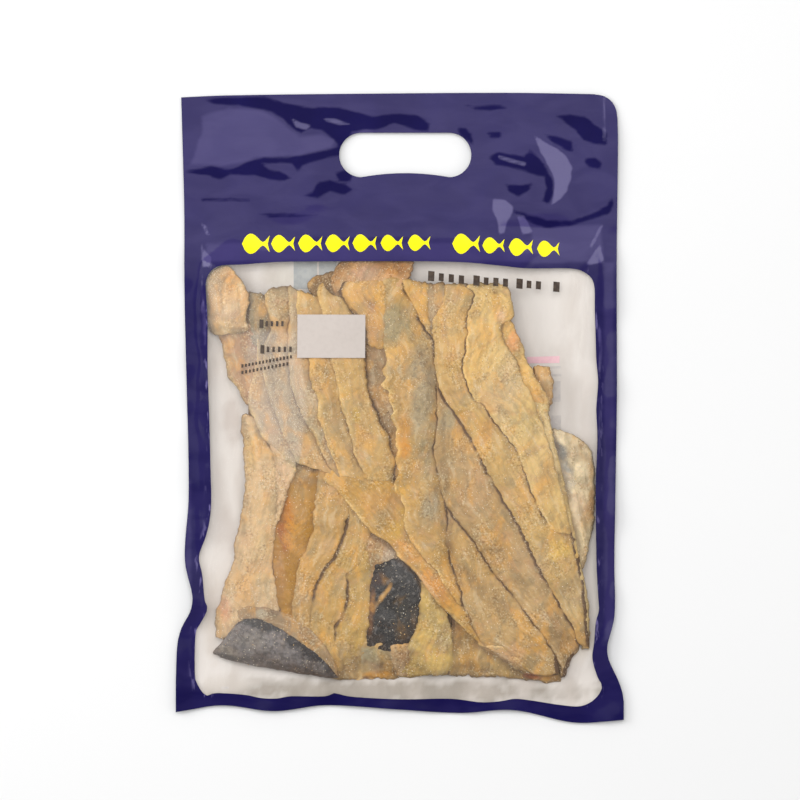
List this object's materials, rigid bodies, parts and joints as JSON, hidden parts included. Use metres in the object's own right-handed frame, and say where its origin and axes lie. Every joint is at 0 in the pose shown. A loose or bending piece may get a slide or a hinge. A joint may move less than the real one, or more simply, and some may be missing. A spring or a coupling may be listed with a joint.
{
  "type": "dried fish pouch",
  "caption": "Flat sealed pouch of dried salted fish fillets, with a handle slot and a press-to-close line in its header and a clear window.",
  "frame": {"origin": "middle of the pouch's outline, on the surface that it lies on", "axes": "+Y towards the header with the handle slot, +Z out of the shown face, +X to the right as shown"},
  "size_m": [0.2462, 0.3464, 0.0221],
  "materials": {
    "printed_laminate": "glossy printed film",
    "clear_film": "clear glossy film, slightly milky",
    "inner_white": "satin white back print",
    "dried_fish": "dry fibrous salted flesh",
    "fish_skin": "dull dark skin with salt"
  },
  "bodies": {
    "root": {"pouch": "printed_laminate"}
  },
  "joints": []
}
